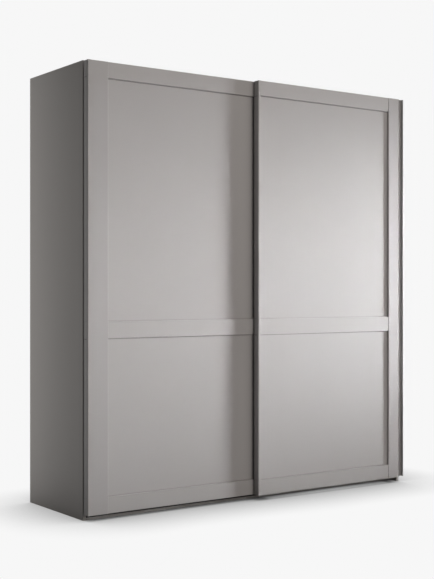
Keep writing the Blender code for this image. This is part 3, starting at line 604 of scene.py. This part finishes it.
flange_top = FLANGE_LAYERS[-1][1]
cup_screws = []
for cup in [name for name in nodes if name.endswith("_cup")]:
    cup_low, cup_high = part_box(cup)
    middle_y, middle_z = (cup_low.y + cup_high.y) / 2, (cup_low.z + cup_high.z) / 2
    on_left_wall = cup in ("left_rail_outer_cup", "right_rail_inner_cup")
    wall, way = (cup_low.x, 1) if on_left_wall else (cup_high.x, -1)
    half_height = cup_high.z + FLANGE_EAR - middle_z
    angles = [2 * math.pi * step / FLANGE_STEPS for step in range(FLANGE_STEPS)]
    outline = [(FLANGE_HALF_WIDTH * math.cos(angle), half_height * math.sin(angle)) for angle in angles]
    mesh = bmesh.new()
    layers = [[mesh.verts.new((wall + way * height, middle_y + y * scale, middle_z + z * scale))
               for y, z in outline] for scale, height in FLANGE_LAYERS]
    for below, above in zip(layers, layers[1:]):
        bridge(mesh, below, above)
    mesh.faces.new(layers[0])
    mesh.faces.new(list(reversed(layers[-1])))
    bmesh.ops.recalc_face_normals(mesh, faces=mesh.faces)
    finished_piece(mesh, cup + "_flange", chrome, "carcase")
    for height in (cup_high.z + CUP_SCREW_OFFSET, cup_low.z - CUP_SCREW_OFFSET):
        cup_screws.append(((wall + way * flange_top, middle_y, height), (way, 0, 0)))
heads("cup_screws", cup_screws, 0.0030, 0.0012, "carcase", recess=0.0009)

# ---------------------------------------------------------------------------
# Zinc-plated steel: shelf pins, door hangers and roller axles. The plating is
# a dull blue-white with a fine spangle and rubbed, brighter edges. The hangers
# are screwed to the backs of the doors.
# ---------------------------------------------------------------------------

ZINC = (0.56, 0.57, 0.60)
BRIGHT_ZINC = (0.80, 0.80, 0.80)
HANGER_PLATE = 0.0025
HANGER_SCREW_HEIGHTS = {"rear_door": (0.008, 0.066), "front_door": (0.008, 0.026, 0.062)}
HANGER_SCREW_OFFSET = 0.0085

zinc = Finish("zinc_plate", ZINC, 0.38, metallic=1.0)
spangle = zinc.noise(0.006, 3, 0.6)
brushing = zinc.noise(0.0009, 3, 0.6, (0.2, 1, 1))
plated = zinc.shade(ZINC, 0.82 + 0.30 * spangle)
zinc.feed("Base Color", zinc.blend(zinc.edge_wear_and_sheen(0.0012) * 0.6, plated, BRIGHT_ZINC))
zinc.feed("Roughness", 0.28 + 0.22 * spangle + 0.06 * brushing)
zinc.feed("Normal", zinc.bumps(brushing, 0.00004))
put_on(zinc, [name for name in nodes if name.endswith(("_pin", "_hanger", "_axle"))])

for door, screw_heights in HANGER_SCREW_HEIGHTS.items():
    hanger_screws = []
    for side in ("left", "right"):
        hanger_low, hanger_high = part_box(door + "_" + side + "_hanger")
        middle_x = (hanger_low.x + hanger_high.x) / 2
        plate_face = hanger_low.y + HANGER_PLATE
        for height in screw_heights:
            for offset in (-HANGER_SCREW_OFFSET, HANGER_SCREW_OFFSET):
                hanger_screws.append(((middle_x + offset, plate_face, hanger_low.z + height), (0, 1, 0)))
    heads(door + "_hanger_screws", hanger_screws, 0.0038, 0.0011, door, recess=0.0008)

# ---------------------------------------------------------------------------
# Top track and bottom guide rail: extruded aluminium, clear anodised, with
# long die lines along X. Both are screwed to the carcase.
# ---------------------------------------------------------------------------

ALUMINIUM = (0.68, 0.68, 0.69)
SCREWS_PER_ROW = 9
TRACK_SCREW_MARGIN = 0.05
TRACK_FRONT_ROW = 0.022
TRACK_REAR_ROW = 0.010
TRACK_WEB = 0.0025
RAIL_SCREW_MARGIN = 0.06

aluminium = Finish("anodised_extrusion", ALUMINIUM, 0.36, metallic=1.0)
die_lines = aluminium.noise(0.0014, 3, 0.6, (0.004, 1, 1))
handling = aluminium.noise(0.08, 4, 0.6)
aluminium.feed("Base Color", aluminium.shade(ALUMINIUM, 0.88 + 0.14 * die_lines + 0.06 * handling))
aluminium.feed("Roughness", 0.26 + 0.16 * die_lines + 0.08 * handling)
aluminium.feed("Normal", aluminium.bumps(die_lines, 0.00006))
put_on(aluminium, ["top_track", "bottom_guide_rail"])


def row_of_places(left, right, margin):
    """Evenly spaced places between two ends, a margin in from each."""
    return [left + margin + step * (right - left - 2 * margin) / (SCREWS_PER_ROW - 1)
            for step in range(SCREWS_PER_ROW)]


track_low, track_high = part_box("top_track")
track_screws = []
for x in row_of_places(track_low.x, track_high.x, TRACK_SCREW_MARGIN):
    for y in (track_low.y + TRACK_FRONT_ROW, track_high.y - TRACK_REAR_ROW):
        track_screws.append(((x, y, track_low.z + TRACK_WEB), (0, 0, 1)))
heads("track_screws", track_screws, 0.0040, 0.0014, "carcase", recess=0.0010)

rail_low, rail_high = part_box("bottom_guide_rail")
rail_screws = [((x, rail_high.y - 0.002, rail_high.z - 0.0045), (0, -1, 0))
               for x in row_of_places(rail_low.x, rail_high.x, RAIL_SCREW_MARGIN)]
heads("guide_rail_screws", rail_screws, 0.0030, 0.0004, "carcase", recess=0.0003)

# ---------------------------------------------------------------------------
# Track stops: moulded rubber blocks pressed in at the two ends of the track.
# ---------------------------------------------------------------------------

RUBBER = (0.022, 0.022, 0.022)
RUBBER_DUST = (0.10, 0.10, 0.095)

rubber = Finish("stop_rubber", RUBBER, 0.8, specular=0.3)
rubber_grain = rubber.noise(0.0012, 3, 0.6)
rubber_dust = rubber.noise(0.02, 4, 0.6)
rubber.feed("Base Color", rubber.blend(rubber_dust * 0.3, RUBBER, RUBBER_DUST))
rubber.feed("Roughness", 0.70 + 0.2 * rubber_grain)
rubber.feed("Normal", rubber.bumps(rubber_grain, 0.00008))
put_on(rubber, ["left_track_stop", "right_track_stop"])

# ---------------------------------------------------------------------------
# Door leaves: a light slab with flat strips glued on its front, all wrapped in
# smooth matt grey foil. A strip's corners are softly rounded. The stiles' foil
# is painted a touch darker: painted shade, against the keys that fall strongest on them.
# ---------------------------------------------------------------------------

FRONT_GREY = (0.386, 0.371, 0.367)
RUBBED_AND_SHEEN_FRONT = (0.66, 0.645, 0.635)
STILE_PAINTED_SHADE_LEVEL = 0.93
DOOR_EDGE = 0.0025
CREASE_SHADE_WIDTH = 0.0040
PAINTED_SHADE_UNDER_RAILS = 0.42
PAINTED_SHADE_OVER_RAILS = 0.14


def door_foil(name, door, level):
    """The foil on one door. Painted shade darkens the slab in the corners above and below its rails, most under
    them.
    """
    made = Finish(name, FRONT_GREY, 0.46, specular=0.32)
    skin = made.noise(THREAD, 3, 0.55)
    mottle = made.noise(0.30, 3)
    touched = made.noise(0.09, 3, 0.6)
    height = made.along("Z")
    # Painted shade: thin dark bands on the slab just under and just over each rail, where the rails' shadow and the
    # corners' shade fall.
    painted_crease_shade = 0
    for rail in ("top_rail", "middle_rail", "bottom_rail"):
        rail_low, rail_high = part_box(door + "_" + rail)
        under = (height < rail_low.z) * (height > rail_low.z - CREASE_SHADE_WIDTH)
        over = (height > rail_high.z) * (height < rail_high.z + CREASE_SHADE_WIDTH)
        painted_crease_shade = painted_crease_shade + PAINTED_SHADE_UNDER_RAILS * under + PAINTED_SHADE_OVER_RAILS * over
    on_slab = made.along("Y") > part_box(door + "_slab")[0].y - 0.0005
    level_less_painted_shade = level - level * painted_crease_shade * on_slab
    tone = made.shade(FRONT_GREY, (0.965 + 0.045 * mottle + 0.02 * skin) * level_less_painted_shade)
    # The strips' rounded corners are lightened: partly rubbed foil, partly a painted highlight where they catch the
    # light.
    made.feed("Base Color", made.blend(made.edge_wear_and_sheen(DOOR_EDGE) * 0.5, tone, RUBBED_AND_SHEEN_FRONT))
    made.feed("Roughness", 0.40 + 0.06 * mottle + 0.05 * touched + 0.05 * skin)
    made.feed("Normal", made.bumps(skin, 0.00005))
    return made


for door in ("rear_door", "front_door"):
    door_nodes = [name for name in nodes if name.startswith(door + "_")]
    put_on(door_foil(door + "_foil", door, 1.0),
           [name for name in door_nodes if name.endswith(("_slab", "_rail", "_strip"))])
    # The stiles get the same foil painted a touch darker, as painted shade.
    put_on(door_foil(door + "_stile_foil", door, STILE_PAINTED_SHADE_LEVEL),
           [name for name in door_nodes if name.endswith("_stile")])

# ---------------------------------------------------------------------------
# Brush seal: a black brush strip stuck up the back of the front door, along its
# left edge. Its near-black pile is painted shade that stands in for the shadow in the gap between the two doors.
# ---------------------------------------------------------------------------

PILE_SHADE_BLACK = (0.011, 0.011, 0.0115)
SEAL_TUFTS = 700
SEAL_END_GAP = 0.004
SEAL_TAPE = 0.0012
PILE_LENGTH = 0.0046
PILE_UNEVEN = 0.0002

# The pile's near-black colour is painted shade for the gap between the doors.
pile = Finish("seal_pile", PILE_SHADE_BLACK, 0.95, specular=0.1)
tufts = pile.noise(0.0007, 3, 0.7, (1, 0.1, 1))
pile.feed("Base Color", pile.shade(PILE_SHADE_BLACK, 0.6 + 0.8 * tufts))
pile.feed("Roughness", 0.85 + 0.15 * tufts)
pile.feed("Normal", pile.bumps(tufts, 0.0002))

slab_low, slab_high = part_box("front_door_slab")
seal_foot = slab_high.y - 0.0002
seal_length = slab_high.z - slab_low.z - 2 * SEAL_END_GAP
seal = bmesh.new()
seal_layers = []
for tuft in range(SEAL_TUFTS + 1):
    z = slab_low.z + SEAL_END_GAP + tuft * seal_length / SEAL_TUFTS
    lean = random.uniform(-PILE_UNEVEN, PILE_UNEVEN)
    tip = PILE_LENGTH + random.uniform(-PILE_UNEVEN, PILE_UNEVEN)
    profile = ((0.0004, 0.0), (0.0074, 0.0), (0.0074, SEAL_TAPE), (0.0058, SEAL_TAPE + 0.0001),
               (0.0054 + lean, tip), (0.0024 + lean, tip), (0.0020, SEAL_TAPE + 0.0001), (0.0004, SEAL_TAPE))
    seal_layers.append([seal.verts.new((slab_low.x + across, seal_foot + out, z)) for across, out in profile])
for below, above in zip(seal_layers, seal_layers[1:]):
    bridge(seal, below, above)
seal.faces.new(seal_layers[0])
seal.faces.new(list(reversed(seal_layers[-1])))
bmesh.ops.recalc_face_normals(seal, faces=seal.faces)
finished_piece(seal, "front_door_brush_seal", pile, "front_door")

# ---------------------------------------------------------------------------
# Grip profile: an extruded aluminium channel on the front door's right edge,
# in a satin grey coat that is a shade cooler than the foil.
# ---------------------------------------------------------------------------

COAT_GREY = (0.335, 0.328, 0.322)
WORN_COAT = (0.66, 0.66, 0.66)

grip_coat = Finish("grip_coat", COAT_GREY, 0.4, metallic=0.35)
coat_lines = grip_coat.noise(0.001, 3, 0.6, (1, 1, 0.01))
coat_tone = grip_coat.shade(COAT_GREY, 0.92 + 0.14 * coat_lines)
grip_coat.feed("Base Color", grip_coat.blend(grip_coat.edge_wear_and_sheen(0.0010) * 0.35, coat_tone, WORN_COAT))
grip_coat.feed("Roughness", 0.34 + 0.12 * coat_lines)
grip_coat.feed("Normal", grip_coat.bumps(coat_lines, 0.00004))
put_on(grip_coat, ["front_door_grip_profile"])

# ---------------------------------------------------------------------------
# Rollers: turned natural nylon with a grooved rim, greyed where they run.
# ---------------------------------------------------------------------------

NYLON = (0.84, 0.82, 0.77)
NYLON_DIRT = (0.48, 0.46, 0.43)

nylon = Finish("roller_nylon", NYLON, 0.42)
nylon_turning = nylon.noise(0.0008)
nylon_dirt = nylon.noise(0.008, 4, 0.65)
nylon.feed("Base Color", nylon.blend(nylon_dirt * 0.35, NYLON, NYLON_DIRT))
nylon.feed("Roughness", 0.34 + 0.2 * nylon_dirt)
nylon.feed("Normal", nylon.bumps(nylon_turning, 0.00004))
put_on(nylon, [name for name in nodes if name.endswith("_roller")])

# ---------------------------------------------------------------------------
# Bottom guides: black moulded nylon shoes on the doors' backs, with a fine
# spark-eroded grain, scuffed to grey on the edges that rub. The front door's
# are screwed on.
# ---------------------------------------------------------------------------

BLACK_NYLON = (0.032, 0.032, 0.033)
SCUFFED_NYLON = (0.16, 0.16, 0.16)
GUIDE_PLATE = 0.0035
GUIDE_SCREW_OFFSET = 0.015
GUIDE_SCREW_DROP = 0.011

black_nylon = Finish("guide_nylon", BLACK_NYLON, 0.55)
mould_grain = black_nylon.noise(0.0009, 3, 0.6)
black_nylon.feed("Base Color", black_nylon.blend(black_nylon.edge_wear_and_sheen(0.0008) * 0.4, BLACK_NYLON, SCUFFED_NYLON))
black_nylon.feed("Roughness", 0.46 + 0.2 * mould_grain)
black_nylon.feed("Normal", black_nylon.bumps(mould_grain, 0.00006))
put_on(black_nylon, [name for name in nodes if name.endswith("_guide")])

guide_screws = []
for side in ("left", "right"):
    guide_low, guide_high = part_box("front_door_" + side + "_guide")
    middle_x = (guide_low.x + guide_high.x) / 2
    for offset in (-GUIDE_SCREW_OFFSET, GUIDE_SCREW_OFFSET):
        place = (middle_x + offset, guide_low.y + GUIDE_PLATE, guide_high.z - GUIDE_SCREW_DROP)
        guide_screws.append((place, (0, 1, 0)))
heads("front_guide_screws", guide_screws, 0.0036, 0.0009, "front_door", recess=0.0006)
